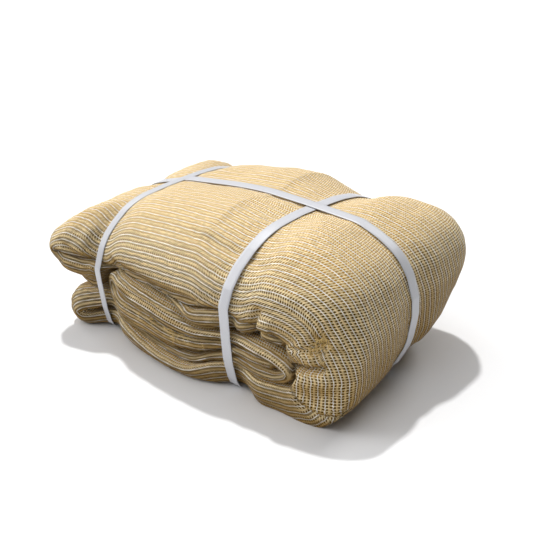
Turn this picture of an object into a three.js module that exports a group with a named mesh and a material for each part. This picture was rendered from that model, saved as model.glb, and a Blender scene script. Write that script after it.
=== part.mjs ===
// A knitted shade sail, folded into a bundle and held by three flat tie straps. Millimetres, +Z up.
// The bundle lies on its flat underside. +X runs along the stripes to the wrapped end, -Y is the side
// on which the folded edges are looked at. The origin is at the middle of the footprint, on the floor.
import * as THREE from "three";

// Driving dimensions
const STRAP_WIDTH = 13.5; // the long strap and the right cross strap
const STRAP_LEFT_WIDTH = 9; // the left cross strap, which looks narrower
const STRAP_THICK = 0.8;
const STRAP_GAP = 0.45; // clear of the cloth, and of a strap beneath
const STRAP_MARGIN = 0.3; // cloth beside a strap that it still has to clear
const STRAP_SIDES = 80; // straight runs that its curve is made of
const STRAP_LONG_Y = 8; // middle of the strap along the length
const STRAP_RIGHT_X = 62.5; // middle of the right cross strap
const STRAP_LEFT_X = -130; // middle of the left cross strap
const TROUGH_DEPTH = 6; // how far a strap draws the cloth in
const TROUGH_UNDER = 4.5; // how far the underside is lifted over a strap
const TROUGH_FLAT = 8; // half width of the flat bed under a strap
const TROUGH_SPREAD = 36; // width over which the cloth swells again beside it
const STATION_STEP = 12.5; // spacing of the sections along the fold line
const LIP_ROUND = 1.8; // width of the round on the inner side of a folded edge
const LIP_SHARE = 0.7; // part of the inner thickness that this round takes
const MIDDLE_X = 0.4; // middle of the footprint, in the places of the table below
const MIDDLE_Y = -0.6;
const LEAN_RUN = 100; // distance over which a layer thins by its lean
const PRESS_DEPTH = 20; // least depth behind the front edge that a swelling or a dent takes in
const SHOULDER = 1.25; // over 1, the front corner rises more slowly than a plain round
const UNDERSIDE = -0.7; // a side that faces farther down than this is shaped by the floor
const SAIL_COLOUR = 0xd8c69c;
const STRAP_COLOUR = 0xe9ebf2;

// The fold line of the thick strip of cloth, seen from the front. left and right are the thickness on
// either hand going along it, front and back its two edges. roundF and roundB are the widths over
// which its right hand side rounds off to those edges, and lean is how much thinner that side grows
// over LEAN_RUN towards the back, beginning at from. tied is 1 where it is the outside of the bundle.
const COLUMNS = [
  "x", "z", "left", "right", "front", "back", "roundF", "roundB", "lean", "from", "tied",
];
const FOLDS = {
  tongue: [
    [120, 56.5, 5, 3.5, -126, 118, 5, 5, 0, -25, 0],
    [92, 56.5, 5.5, 4, -131, 120, 5, 5, 0, -25, 0],
    [60, 55.5, 5.5, 3.5, -136, 124, 5, 5, 0, -25, 0],
    [20, 50, 11, 4, -143, 130, 6, 6, 0, -25, 0],
    [-15, 46, 14, 5, -144, 132, 6, 6, 0, -25, 0],
    [-50, 52, 18, 6, -145, 134, 8, 8, 0, -25, 0],
    [-90, 53, 14, 7, -142, 132, 8, 8, 0, -25, 0],
    [-112, 56, 9, 6, -137, 130, 8, 8, 0, -25, 0],
  ],
  thirdLayer: [
    [-121, 64, 6, 6, -133, 127, 8, 8, 0, -25, 0],
    [-112, 73, 9, 6, -138, 129, 8, 8, 0, -25, 0],
    [-90, 72, 15, 8, -142, 132, 8, 8, 0, -25, 0],
    [-50, 70, 17, 9, -148, 138, 9, 9, 0, -25, 0],
    [-15, 65, 17, 11, -149, 139, 9, 9, 0, -25, 0],
    [20, 61, 7, 5, -145, 139, 6, 6, 0, -25, 0],
    [52, 64, 5, 4, -141, 137, 6, 6, 0, -25, 0],
    [68, 66, 7, 5, -137, 134, 7, 7, 0, -25, 0],
    [100, 67, 8, 5, -135, 130, 7, 7, 0, -25, 0],
    [126, 63, 8, 4, -132, 122, 7, 7, 0, -25, 0],
    [140, 54, 8, 5, -129, 114, 8, 8, 0, -25, 0],
    [126, 44, 6, 6, -131, 114, 7, 7, 0, -25, 0],
  ],
  fourthLayer: [
    [100, 41.5, 6.5, 8, -134, 118, 8, 8, 0, -25, 0],
    [65, 42, 7, 6.5, -137, 126, 8, 8, 0, -25, 0],
    [40, 35, 4, 4, -138, 132, 6, 6, 0, -25, 0],
    [12, 23, 3, 3, -139, 135, 5, 5, 0, -25, 0],
    [-20, 20, 3, 3, -138, 134, 5, 5, 0, -25, 0],
    [-47, 24, 3, 3, -138, 133, 5, 5, 0, -25, 0],
    [-75, 30, 3, 3, -138, 132, 5, 5, 0, -25, 0],
    [-100, 33, 3, 4, -137, 130, 6, 6, 0, -25, 0],
    [-122, 36, 3, 10, -132, 128, 10, 10, 0, -25, 0],
  ],
  lowerLobe: [
    [-142, 31, 4, 21, -139, 126, 12, 30, 0, -25, 0.6],
    [-157, 26, 4, 27, -145, 125, 18, 36, 3, -25, 1],
    [-164, 19, 4, 22, -146, 124, 18, 34, 3, -25, 1],
    [-157, 12.5, 4, 15, -143, 124, 15, 30, 0, -25, 1],
  ],
  bottomLayer: [
    [-140, 15, 4, 16, -132, 125, 17, 24, 0, -25, 1],
    [-120, 23, 5, 24, -131, 127, 20, 20, 0, -25, 1],
    [-96, 23, 4, 24, -138, 133, 20, 20, 0, -25, 1],
    [-70, 19, 4, 20, -144, 137, 20, 18, 0, -25, 1],
    [-45, 14, 3.5, 15, -147, 139, 18, 18, 0, -25, 1],
    [-18, 11, 3.5, 12, -148, 139, 16, 18, 0, -25, 1],
    [12, 13, 3.5, 14, -147, 138, 14, 18, 0, -25, 1],
    [40, 24, 4, 25, -141, 136, 17, 22, 0, -25, 1],
    [68, 28, 5, 29, -133, 131, 26, 26, 0, -25, 1],
    [100, 28, 5, 29, -136, 124, 11, 32, 0, -25, 1],
    [124, 28, 5, 33, -132, 116, 11, 40, 3, -90, 1],
  ],
  rightEnd: [
    [143, 33, 4, 44, -132, 108, 12, 50, 12, -90, 1],
    [156, 43, 4, 47, -132, 107, 15, 58, 13, -90, 1],
    [161, 56, 8, 47, -131, 115, 24, 62, 10, -90, 1],
    [159, 70, 17, 52, -130, 128, 40, 66, 7, -90, 1],
    [152, 84, 17, 57, -131, 143, 54, 60, 1, -90, 1],
    [140, 95, 7, 67, -133, 149, 66, 62, 0, -90, 1],
  ],
  topLayer: [
    [120, 100, 5, 73.5, -136, 150, 82, 80, 4, -25, 1],
    [97, 102, 5, 74, -139, 148, 92, 92, 7, -25, 1],
    [66, 104, 5, 70, -144, 144, 98, 98, 9, -25, 1],
    [40, 104, 5, 70.5, -147, 143, 98, 96, 7, -25, 1],
    [10, 99, 5, 75, -148, 144, 98, 94, 4, -25, 1],
    [-30, 99, 4, 71, -148, 143, 94, 94, 3, -25, 1],
    [-60, 99.5, 4, 66, -146, 140, 88, 94, 5, -25, 1],
    [-95, 100, 4, 59, -142, 138, 80, 92, 6, -25, 1],
    [-130, 94, 5, 56, -138, 133, 80, 90, 6, -25, 1],
    [-155, 95.5, 5, 49, -144, 134, 72, 78, 4.5, -25, 1],
    [-176, 98.5, 4, 36, -151, 133, 52, 62, 3, -25, 1],
  ],
  upperLobe: [
    [-188, 98, 4, 22, -152, 130, 42, 48, 0, -25, 1],
    [-191, 92.5, 3.5, 18, -151, 128, 28, 38, 0, -25, 1],
    [-186, 88, 3.5, 19, -149, 126, 26, 34, 0, -25, 1],
  ],
  secondLayer: [
    [-172, 87, 3.5, 25, -147, 125, 20, 30, 0, -25, 0.6],
    [-155, 85.5, 3, 31.5, -144, 125, 13, 26, 0, -25, 0.3],
    [-143, 85, 3, 33.5, -141, 126, 11, 22, 0, -25, 0],
    [-133, 84.5, 2.5, 14, -139, 128, 14, 14, 0, -25, 0],
    [-120, 86, 2.5, 3, -134, 130, 5, 5, 0, -25, 0],
    [-100, 90.5, 2.5, 2.5, -128, 132, 4, 4, 0, -25, 0],
    [-80, 91.5, 2, 2, -128, 136, 4, 4, 0, -25, 0],
    [-50, 91, 2.5, 2.5, -132, 138, 4, 4, 0, -25, 0],
    [-15, 88, 5, 4, -140, 139, 6, 6, 0, -25, 0],
    [20, 82, 9, 9, -149, 140, 10, 10, 0, -25, 0],
    [45, 84, 12, 12, -147, 140, 12, 12, 0, -25, 0],
    [68, 87, 9, 10, -137, 138, 12, 12, 0, -25, 0],
    [83, 88, 7, 11, -138, 136, 12, 10, 0, -25, 0],
    [97, 89, 5, 5, -128, 134, 8, 8, 0, -25, 0],
    [110, 88, 5, 9, -134, 130, 10, 8, 0, -25, 0],
    [121, 87, 4, 9, -133, 127, 10, 7, 0, -25, 0],
    [131, 86, 3, 6, -128, 122, 8, 6, 0, -25, 0],
  ],
};

// Where the front swells or is pressed in: the two ends of the middle line, its half width, how far it
// stands out, and the layers it is on
const PRESSED_COLUMNS = ["x", "z", "toX", "toZ", "halfWidth", "out", "layers"];
const PRESSED = [
  [72, 55, 146, 55, 26, 5, ["tongue", "thirdLayer", "fourthLayer"]],
  [80, 91, 80, 91, 18, 5, ["topLayer", "secondLayer"]],
  [114, 98, 138, 96, 17, 4, ["topLayer", "secondLayer"]],
  [158, 84, 166, 80, 16, 5, ["rightEnd"]],
  [164, 55, 182, 58, 16, 5, ["rightEnd"]],
  [172, 98, 172, 98, 15, -5, ["rightEnd", "topLayer"]],
  [-177, 74, -133, 78, 14, 4, ["secondLayer", "upperLobe"]],
  [-168, 60, -136, 58, 10, -4, ["secondLayer"]],
];

// A smooth value between b and c, with a and d as their neighbours
function smoothValue(a, b, c, d, t) {
  const tangentB = (c - a) / 2;
  const tangentC = (d - b) / 2;
  const t2 = t * t;
  const t3 = t2 * t;
  return (
    (2 * t3 - 3 * t2 + 1) * b +
    (t3 - 2 * t2 + t) * tangentB +
    (3 * t2 - 2 * t3) * c +
    (t3 - t2) * tangentC
  );
}

// Sections at even steps along the whole fold line, each with its direction
function makeStations() {
  const rows = Object.values(FOLDS).flat();
  const layers = Object.keys(FOLDS).flatMap((name) => FOLDS[name].map(() => name));
  const last = rows.length - 1;
  const row = (i) => rows[Math.min(Math.max(i, 0), last)];
  const at = (i, t, k) => smoothValue(row(i - 1)[k], row(i)[k], row(i + 1)[k], row(i + 2)[k], t);
  const outside = rows.map(([x, z, , right], i) => {
    const alongX = row(i + 1)[0] - row(i - 1)[0];
    const alongZ = row(i + 1)[1] - row(i - 1)[1];
    const length = Math.hypot(alongX, alongZ);
    return [x + (alongZ / length) * right, z - (alongX / length) * right];
  });
  const apart = (places, i) => Math.hypot(places[i + 1][0] - places[i][0], places[i + 1][1] - places[i][1]);
  const stations = [];
  for (let i = 0; i < last; i++) {
    const run = Math.max(apart(rows, i), apart(outside, i));
    const steps = Math.max(1, Math.round(run / STATION_STEP));
    for (let s = 0; s < steps; s++) {
      const values = COLUMNS.map((name, k) => [name, at(i, s / steps, k)]);
      stations.push({ ...Object.fromEntries(values), layer: layers[i] });
    }
  }
  const values = COLUMNS.map((name, k) => [name, row(last)[k]]);
  stations.push({ ...Object.fromEntries(values), layer: layers[last] });
  stations.forEach((station, i) => {
    const before = stations[Math.max(i - 1, 0)];
    const after = stations[Math.min(i + 1, stations.length - 1)];
    const length = Math.hypot(after.x - before.x, after.z - before.z);
    station.tx = (after.x - before.x) / length;
    station.tz = (after.z - before.z) / length;
  });
  return stations;
}

// How much of a strap's trough is felt at this distance from its middle
function trough(distance) {
  const beside = Math.max(Math.abs(distance) - TROUGH_FLAT, 0);
  const share = Math.max(1 - beside / TROUGH_SPREAD, 0);
  return share * share * (3 - 2 * share);
}

function crossTrough(x) {
  return Math.max(trough(x - STRAP_RIGHT_X), trough(x - STRAP_LEFT_X));
}

// Places along y: steps round a corner, distances from the long strap on the flat between two
// corners, and shares of the width on the inner side
const CORNER_STEPS = 7;
const FLAT_STEPS = [TROUGH_FLAT, TROUGH_FLAT + TROUGH_SPREAD / 2, TROUGH_FLAT + TROUGH_SPREAD];
const FLAT_PLACES = [...FLAT_STEPS.map((step) => -step).reverse(), ...FLAT_STEPS];
const FLAT_SPACING = 4; // least distance between two of them
const FLAT_LEAST = 70; // a flat narrower than this is divided evenly
const INNER_STEPS = [0.88, 0.5, 0.12];

// One closed section, as pairs of y and height over the fold line, positive to the right hand
function sectionOf(station) {
  const draw = TROUGH_DEPTH * crossTrough(station.x);
  const front = station.front + draw;
  const back = station.back - draw;
  const points = [];
  const corner = (edge, inward, round, power, order) => {
    for (const k of order) {
      const turn = ((k / CORNER_STEPS) * Math.PI) / 2;
      const up = station.right * Math.sin(turn) ** power;
      points.push([edge + inward * round * (1 - Math.cos(turn)), up]);
    }
  };
  const rising = Array.from({ length: CORNER_STEPS + 1 }, (_, k) => k);
  corner(front, 1, station.roundF, SHOULDER, rising);
  const flatFrom = front + station.roundF;
  const flatTo = back - station.roundB;
  const gaps = FLAT_PLACES.length + 1;
  FLAT_PLACES.forEach((place, k) => {
    const low = flatFrom + FLAT_SPACING * (k + 1);
    const high = flatTo - FLAT_SPACING * (gaps - k - 1);
    const fitted = Math.min(Math.max(STRAP_LONG_Y + place, low), high);
    const even = flatFrom + ((flatTo - flatFrom) * (k + 1)) / gaps;
    points.push([flatTo - flatFrom > FLAT_LEAST ? fitted : even, station.right]);
  });
  corner(back, -1, station.roundB, 1, rising.reverse());
  points.push([back - LIP_ROUND, -station.left * LIP_SHARE]);
  for (const share of INNER_STEPS) points.push([front + (back - front) * share, -station.left]);
  points.push([front + LIP_ROUND, -station.left * LIP_SHARE]);
  return points;
}

// How far the front of a layer stands out at this place
function pressedOut(layer, x, z) {
  let out = 0;
  for (const row of PRESSED) {
    const press = Object.fromEntries(PRESSED_COLUMNS.map((name, k) => [name, row[k]]));
    const runX = press.toX - press.x;
    const runZ = press.toZ - press.z;
    const length2 = runX * runX + runZ * runZ;
    const along = length2 ? ((x - press.x) * runX + (z - press.z) * runZ) / length2 : 0;
    const t = Math.min(Math.max(along, 0), 1);
    const distance = Math.hypot(x - press.x - t * runX, z - press.z - t * runZ) / press.halfWidth;
    const share = Math.max(1 - distance * distance, 0);
    if (press.layers.includes(layer)) out += press.out * share * share;
  }
  return out;
}

// The section set up in space: drawn in under the straps, flat on the floor and pressed at the front
function placeSection(station) {
  const normalX = station.tz;
  const normalZ = -station.tx;
  return sectionOf(station).map(([y, up]) => {
    const felt = Math.max(crossTrough(station.x), trough(y - STRAP_LONG_Y)) * station.tied;
    const share = Math.max(up, 0) / station.right;
    const drawn = normalZ > UNDERSIDE ? TROUGH_DEPTH * felt : 0;
    const height = up - share * (drawn + (station.lean * Math.max(y - station.from, 0)) / LEAN_RUN);
    const x = station.x + normalX * height;
    const z = station.z + normalZ * height;
    const facing = Math.max(1 - (y - station.front) / Math.max(station.roundF, PRESS_DEPTH), 0);
    const out = pressedOut(station.layer, x, z) * facing * (1 - felt);
    return new THREE.Vector3(x, y - out, Math.max(z, TROUGH_UNDER * felt));
  });
}

function meshOf(name, positions, triangles, material) {
  const geometry = new THREE.BufferGeometry();
  const places = positions.flatMap((position) => position.toArray());
  geometry.setAttribute("position", new THREE.Float32BufferAttribute(places, 3));
  geometry.setIndex(triangles);
  geometry.computeVertexNormals();
  const mesh = new THREE.Mesh(geometry, material);
  mesh.name = name;
  return mesh;
}

// The cloth: the sections joined into one skin, closed at its two ends
function makeFoldedSail(material) {
  const rings = makeStations().map(placeSection);
  const size = rings[0].length;
  const positions = rings.flat();
  const triangles = [];
  for (let i = 0; i + 1 < rings.length; i++) {
    for (let k = 0; k < size; k++) {
      const a = i * size + k;
      const b = i * size + ((k + 1) % size);
      triangles.push(a, b, a + size, b, b + size, a + size);
    }
  }
  const closeEnd = (ring, first, turned) => {
    const middle = ring.reduce((sum, p) => sum.add(p), new THREE.Vector3()).divideScalar(size);
    const hub = positions.push(middle) - 1;
    for (let k = 0; k < size; k++) {
      const a = first + k;
      const b = first + ((k + 1) % size);
      triangles.push(...(turned ? [hub, b, a] : [hub, a, b]));
    }
  };
  closeEnd(rings[0], 0, true);
  closeEnd(rings[rings.length - 1], (rings.length - 1) * size, false);
  return meshOf("folded_sail", positions, triangles, material);
}

// Points of the meshes inside the slab that a strap covers, flattened to the plane it runs in
function pointsUnder(meshes, axis, middle, width) {
  const flat = axis === "x" ? (p) => [p.y, p.z] : (p) => [p.x, p.z];
  const half = width / 2 + STRAP_MARGIN;
  const found = [];
  for (const mesh of meshes) {
    const place = mesh.geometry.getAttribute("position");
    const index = mesh.geometry.index.array;
    const point = (i) => new THREE.Vector3().fromBufferAttribute(place, i);
    for (let t = 0; t < index.length; t += 3) {
      for (let k = 0; k < 3; k++) {
        const a = point(index[t + k]);
        const b = point(index[t + ((k + 1) % 3)]);
        if (Math.abs(a[axis] - middle) <= half) found.push(flat(a));
        for (const side of [middle - half, middle + half]) {
          const share = (side - a[axis]) / (b[axis] - a[axis]);
          if (share > 0 && share < 1) found.push(flat(a.clone().lerp(b, share)));
        }
      }
    }
  }
  return found;
}

// The outline of a strap pulled tight round the points, the given distance off them, counterclockwise.
// Each of its sides touches the farthest point in its own direction.
function tightOutline(points, distance) {
  const sides = Array.from({ length: STRAP_SIDES }, (_, i) => {
    const angle = (2 * Math.PI * i) / STRAP_SIDES;
    const reach = Math.max(...points.map(([u, z]) => u * Math.cos(angle) + z * Math.sin(angle)));
    return { angle, reach: reach + distance };
  });
  return sides.map((side, i) => {
    const next = sides[(i + 1) % STRAP_SIDES];
    const across = Math.sin(next.angle - side.angle);
    return [
      (side.reach * Math.sin(next.angle) - next.reach * Math.sin(side.angle)) / across,
      (next.reach * Math.cos(side.angle) - side.reach * Math.cos(next.angle)) / across,
    ];
  });
}

// A flat strap pulled tight round what it holds
function makeStrap(name, held, axis, middle, width, material) {
  const points = pointsUnder(held, axis, middle, width);
  const inner = tightOutline(points, STRAP_GAP);
  const outer = tightOutline(points, STRAP_GAP + STRAP_THICK);
  const half = width / 2;
  const place = ([u, z], side) =>
    axis === "x" ? new THREE.Vector3(middle + side, u, z) : new THREE.Vector3(u, middle - side, z);
  const positions = inner.flatMap((_, i) => [
    place(inner[i], -half),
    place(outer[i], -half),
    place(outer[i], half),
    place(inner[i], half),
  ]);
  const triangles = [];
  const count = positions.length;
  for (let i = 0; i < STRAP_SIDES; i++) {
    for (let k = 0; k < 4; k++) {
      const a = i * 4 + k;
      const b = i * 4 + ((k + 1) % 4);
      const c = (a + 4) % count;
      const d = (b + 4) % count;
      triangles.push(a, c, b, b, c, d);
    }
  }
  return meshOf(name, positions, triangles, material);
}

function clothMaterial() {
  return new THREE.MeshStandardMaterial({ color: SAIL_COLOUR, roughness: 0.9, metalness: 0 });
}

function strapMaterial() {
  return new THREE.MeshStandardMaterial({ color: STRAP_COLOUR, roughness: 0.45, metalness: 0 });
}

const sail = makeFoldedSail(clothMaterial());
const strap = strapMaterial();
const crossRight = makeStrap("tie_strap_cross_right", [sail], "x", STRAP_RIGHT_X, STRAP_WIDTH, strap);
const long = makeStrap("tie_strap_long", [sail, crossRight], "y", STRAP_LONG_Y, STRAP_WIDTH, strap);
const crossLeft = makeStrap("tie_strap_cross_left", [sail, long], "x", STRAP_LEFT_X, STRAP_LEFT_WIDTH, strap);

const bundle = new THREE.Group();
bundle.add(sail, crossRight, long, crossLeft);
bundle.position.set(-MIDDLE_X, -MIDDLE_Y, 0);
export default bundle;
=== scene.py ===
import math

import bpy
import numpy as np
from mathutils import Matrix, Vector


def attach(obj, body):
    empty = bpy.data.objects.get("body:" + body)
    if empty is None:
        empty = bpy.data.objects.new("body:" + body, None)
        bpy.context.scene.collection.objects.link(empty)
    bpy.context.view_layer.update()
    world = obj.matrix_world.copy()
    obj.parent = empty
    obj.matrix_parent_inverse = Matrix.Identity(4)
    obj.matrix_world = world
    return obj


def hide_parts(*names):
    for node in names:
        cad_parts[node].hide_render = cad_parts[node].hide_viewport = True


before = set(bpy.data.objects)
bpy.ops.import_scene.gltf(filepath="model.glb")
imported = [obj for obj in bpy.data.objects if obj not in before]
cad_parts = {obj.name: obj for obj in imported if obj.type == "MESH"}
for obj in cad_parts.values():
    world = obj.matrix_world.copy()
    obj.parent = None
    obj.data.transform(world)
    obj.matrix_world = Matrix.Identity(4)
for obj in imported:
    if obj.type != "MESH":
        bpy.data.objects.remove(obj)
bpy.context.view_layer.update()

# The folded sail. One large knitted cloth of flat plastic yarn, wheat with fine white stripes. It is folded
# over and over into a thick strip, and the strip is folded back and forth and wrapped round its own end.
# What shows is the outermost ply of that strip, one skin along all its folds. Sizes are in millimetres.
MM = 0.001
TROUGH_DEPTH = 6  # how far a strap draws the cloth in
TROUGH_UNDER = 4.5  # how far the underside is lifted over a strap
TROUGH_FLAT = 8  # half width of the flat bed under a strap
TROUGH_SPREAD = 36  # width over which the cloth swells again beside it
STRAP_LONG_Y = 8  # middle of the strap along the length
STRAP_RIGHT_X = 62.5  # middle of the right cross strap
STRAP_LEFT_X = -130  # middle of the left cross strap
MIDDLE = np.array([0.4, -0.6, 0])  # middle of the footprint, in the places of the table of folds

# The fold line of the strip, seen from the front: its place, its thickness on either hand going along it,
# its two edges, the widths over which its right hand side rounds off to them, how much thinner that side
# grows over 100 mm towards the back and where that begins, and 1 where it is the outside of the bundle.
FOLD_COLUMNS = [
    "x", "z", "left", "right", "front", "back", "round_front", "round_back", "lean", "from", "tied",
]
FOLDS = {
    "tongue": [
        (120, 56.5, 5, 3.5, -126, 118, 5, 5, 0, -25, 0),
        (92, 56.5, 5.5, 4, -131, 120, 5, 5, 0, -25, 0),
        (60, 55.5, 5.5, 3.5, -136, 124, 5, 5, 0, -25, 0),
        (20, 50, 11, 4, -143, 130, 6, 6, 0, -25, 0),
        (-15, 46, 14, 5, -144, 132, 6, 6, 0, -25, 0),
        (-50, 52, 18, 6, -145, 134, 8, 8, 0, -25, 0),
        (-90, 53, 14, 7, -142, 132, 8, 8, 0, -25, 0),
        (-112, 56, 9, 6, -137, 130, 8, 8, 0, -25, 0),
    ],
    "third layer": [
        (-121, 64, 6, 6, -133, 127, 8, 8, 0, -25, 0),
        (-112, 73, 9, 6, -138, 129, 8, 8, 0, -25, 0),
        (-90, 72, 15, 8, -142, 132, 8, 8, 0, -25, 0),
        (-50, 70, 17, 9, -148, 138, 9, 9, 0, -25, 0),
        (-15, 65, 17, 11, -149, 139, 9, 9, 0, -25, 0),
        (20, 61, 7, 5, -145, 139, 6, 6, 0, -25, 0),
        (52, 64, 5, 4, -141, 137, 6, 6, 0, -25, 0),
        (68, 66, 7, 5, -137, 134, 7, 7, 0, -25, 0),
        (100, 67, 8, 5, -135, 130, 7, 7, 0, -25, 0),
        (126, 63, 8, 4, -132, 122, 7, 7, 0, -25, 0),
        (140, 54, 8, 5, -129, 114, 8, 8, 0, -25, 0),
        (126, 44, 6, 6, -131, 114, 7, 7, 0, -25, 0),
    ],
    "fourth layer": [
        (100, 41.5, 6.5, 8, -134, 118, 8, 8, 0, -25, 0),
        (65, 42, 7, 6.5, -137, 126, 8, 8, 0, -25, 0),
        (40, 35, 4, 4, -138, 132, 6, 6, 0, -25, 0),
        (12, 23, 3, 3, -139, 135, 5, 5, 0, -25, 0),
        (-20, 20, 3, 3, -138, 134, 5, 5, 0, -25, 0),
        (-47, 24, 3, 3, -138, 133, 5, 5, 0, -25, 0),
        (-75, 30, 3, 3, -138, 132, 5, 5, 0, -25, 0),
        (-100, 33, 3, 4, -137, 130, 6, 6, 0, -25, 0),
        (-122, 36, 3, 10, -132, 128, 10, 10, 0, -25, 0),
    ],
    "lower lobe": [
        (-142, 31, 4, 21, -139, 126, 12, 30, 0, -25, 0.6),
        (-157, 26, 4, 27, -145, 125, 18, 36, 3, -25, 1),
        (-164, 19, 4, 22, -146, 124, 18, 34, 3, -25, 1),
        (-157, 12.5, 4, 15, -143, 124, 15, 30, 0, -25, 1),
    ],
    "bottom layer": [
        (-140, 15, 4, 16, -132, 125, 17, 24, 0, -25, 1),
        (-120, 23, 5, 24, -131, 127, 20, 20, 0, -25, 1),
        (-96, 23, 4, 24, -138, 133, 20, 20, 0, -25, 1),
        (-70, 19, 4, 20, -144, 137, 20, 18, 0, -25, 1),
        (-45, 14, 3.5, 15, -147, 139, 18, 18, 0, -25, 1),
        (-18, 11, 3.5, 12, -148, 139, 16, 18, 0, -25, 1),
        (12, 13, 3.5, 14, -147, 138, 14, 18, 0, -25, 1),
        (40, 24, 4, 25, -141, 136, 17, 22, 0, -25, 1),
        (68, 28, 5, 29, -133, 131, 26, 26, 0, -25, 1),
        (100, 28, 5, 29, -136, 124, 11, 32, 0, -25, 1),
        (124, 28, 5, 33, -132, 116, 11, 40, 3, -90, 1),
    ],
    "wrapped end": [
        (143, 33, 4, 44, -132, 108, 12, 50, 12, -90, 1),
        (156, 43, 4, 47, -132, 107, 15, 58, 13, -90, 1),
        (161, 56, 8, 47, -131, 115, 24, 62, 10, -90, 1),
        (159, 70, 17, 52, -130, 128, 40, 66, 7, -90, 1),
        (152, 84, 17, 57, -131, 143, 54, 60, 1, -90, 1),
        (140, 95, 7, 67, -133, 149, 66, 62, 0, -90, 1),
    ],
    "top layer": [
        (120, 100, 5, 73.5, -136, 150, 82, 80, 4, -25, 1),
        (97, 102, 5, 74, -139, 148, 92, 92, 7, -25, 1),
        (66, 104, 5, 70, -144, 144, 98, 98, 9, -25, 1),
        (40, 104, 5, 70.5, -147, 143, 98, 96, 7, -25, 1),
        (10, 99, 5, 75, -148, 144, 98, 94, 4, -25, 1),
        (-30, 99, 4, 71, -148, 143, 94, 94, 3, -25, 1),
        (-60, 99.5, 4, 66, -146, 140, 88, 94, 5, -25, 1),
        (-95, 100, 4, 59, -142, 138, 80, 92, 6, -25, 1),
        (-130, 94, 5, 56, -138, 133, 80, 90, 6, -25, 1),
        (-155, 95.5, 5, 49, -144, 134, 72, 78, 4.5, -25, 1),
        (-176, 98.5, 4, 36, -151, 133, 52, 62, 3, -25, 1),
    ],
    "upper lobe": [
        (-188, 98, 4, 22, -152, 130, 42, 48, 0, -25, 1),
        (-191, 92.5, 3.5, 18, -151, 128, 28, 38, 0, -25, 1),
        (-186, 88, 3.5, 19, -149, 126, 26, 34, 0, -25, 1),
    ],
    "second layer": [
        (-172, 87, 3.5, 25, -147, 125, 20, 30, 0, -25, 0.6),
        (-155, 85.5, 3, 31.5, -144, 125, 13, 26, 0, -25, 0.3),
        (-143, 85, 3, 33.5, -141, 126, 11, 22, 0, -25, 0),
        (-133, 84.5, 2.5, 14, -139, 128, 14, 14, 0, -25, 0),
        (-120, 86, 2.5, 3, -134, 130, 5, 5, 0, -25, 0),
        (-100, 90.5, 2.5, 2.5, -128, 132, 4, 4, 0, -25, 0),
        (-80, 91.5, 2, 2, -128, 136, 4, 4, 0, -25, 0),
        (-50, 91, 2.5, 2.5, -132, 138, 4, 4, 0, -25, 0),
        (-15, 88, 5, 4, -140, 139, 6, 6, 0, -25, 0),
        (20, 82, 9, 9, -149, 140, 10, 10, 0, -25, 0),
        (45, 84, 12, 12, -147, 140, 12, 12, 0, -25, 0),
        (68, 87, 9, 10, -137, 138, 12, 12, 0, -25, 0),
        (83, 88, 7, 11, -138, 136, 12, 10, 0, -25, 0),
        (97, 89, 5, 5, -128, 134, 8, 8, 0, -25, 0),
        (110, 88, 5, 9, -134, 130, 10, 8, 0, -25, 0),
        (121, 87, 4, 9, -133, 127, 10, 7, 0, -25, 0),
        (131, 86, 3, 6, -128, 122, 8, 6, 0, -25, 0),
    ],
}

STATION_STEP = 6  # spacing of the sections along the fold line
TURN_WEIGHT = 1.6  # how much closer the sections stand where the outside runs round a turn
# The steps round a section: front corner, outer side, back corner, each lip, and inner side
FRONT_STEPS = 32
FLAT_STEPS = 23
BACK_STEPS = 12
LIP_STEPS = 4
INNER_STEPS = 6
LIP_ROUND = 3.5  # width of the round on the inner side of a folded edge
SHOULDER = 1.25  # over 1, the front corner rises more slowly than a plain round
UNDERSIDE = -0.7  # a side that faces farther down than this is shaped by the floor


def smooth_value(a, b, c, d, t):
    """A smooth value between b and c, with a and d as their neighbours."""
    return 0.5 * (2 * b + (c - a) * t + (2 * a - 5 * b + 4 * c - d) * t**2 + (3 * b - a - 3 * c + d) * t**3)


def stations_of(folds):
    """Evenly spaced sections along the fold line: a dictionary of columns, with the direction of travel,
    and the name of the fold that each station is on."""
    rows = np.array([row for group in folds.values() for row in group], float)
    names = [name for name, group in folds.items() for _ in group]
    padded = np.vstack([rows[:1], rows, rows[-1:]])
    parts = []
    layers = []
    middle = rows[:, :2]
    along = np.gradient(middle, axis=0)
    facing = np.stack([along[:, 1], -along[:, 0]], axis=1) / np.linalg.norm(along, axis=1)[:, None]
    outside = middle + facing * rows[:, FOLD_COLUMNS.index("right"), None]
    for i in range(len(rows) - 1):
        middle_run = math.hypot(*(middle[i + 1] - middle[i]))
        outside_run = math.hypot(*(outside[i + 1] - outside[i]))
        steps = max(1, round(max(middle_run, TURN_WEIGHT * outside_run) / STATION_STEP))
        t = (np.arange(steps) / steps)[:, None]
        parts.append(smooth_value(padded[i], padded[i + 1], padded[i + 2], padded[i + 3], t))
        layers += [names[i]] * steps
    values = np.vstack([*parts, rows[-1:]])
    found = {name: values[:, k] for k, name in enumerate(FOLD_COLUMNS)}
    along = np.gradient(values[:, :2], axis=0)
    along /= np.linalg.norm(along, axis=1)[:, None]
    found["tx"], found["tz"] = along.T
    return found, np.array(layers + names[-1:])


def trough(distance):
    """How much of a strap's trough is felt at this distance from its middle."""
    share = np.clip(1 - np.maximum(np.abs(distance) - TROUGH_FLAT, 0) / TROUGH_SPREAD, 0, 1)
    return share * share * (3 - 2 * share)


def cross_trough(x):
    """How much of the troughs of the two cross straps is felt at a place along the bundle."""
    return np.maximum(trough(x - STRAP_RIGHT_X), trough(x - STRAP_LEFT_X))


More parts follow.
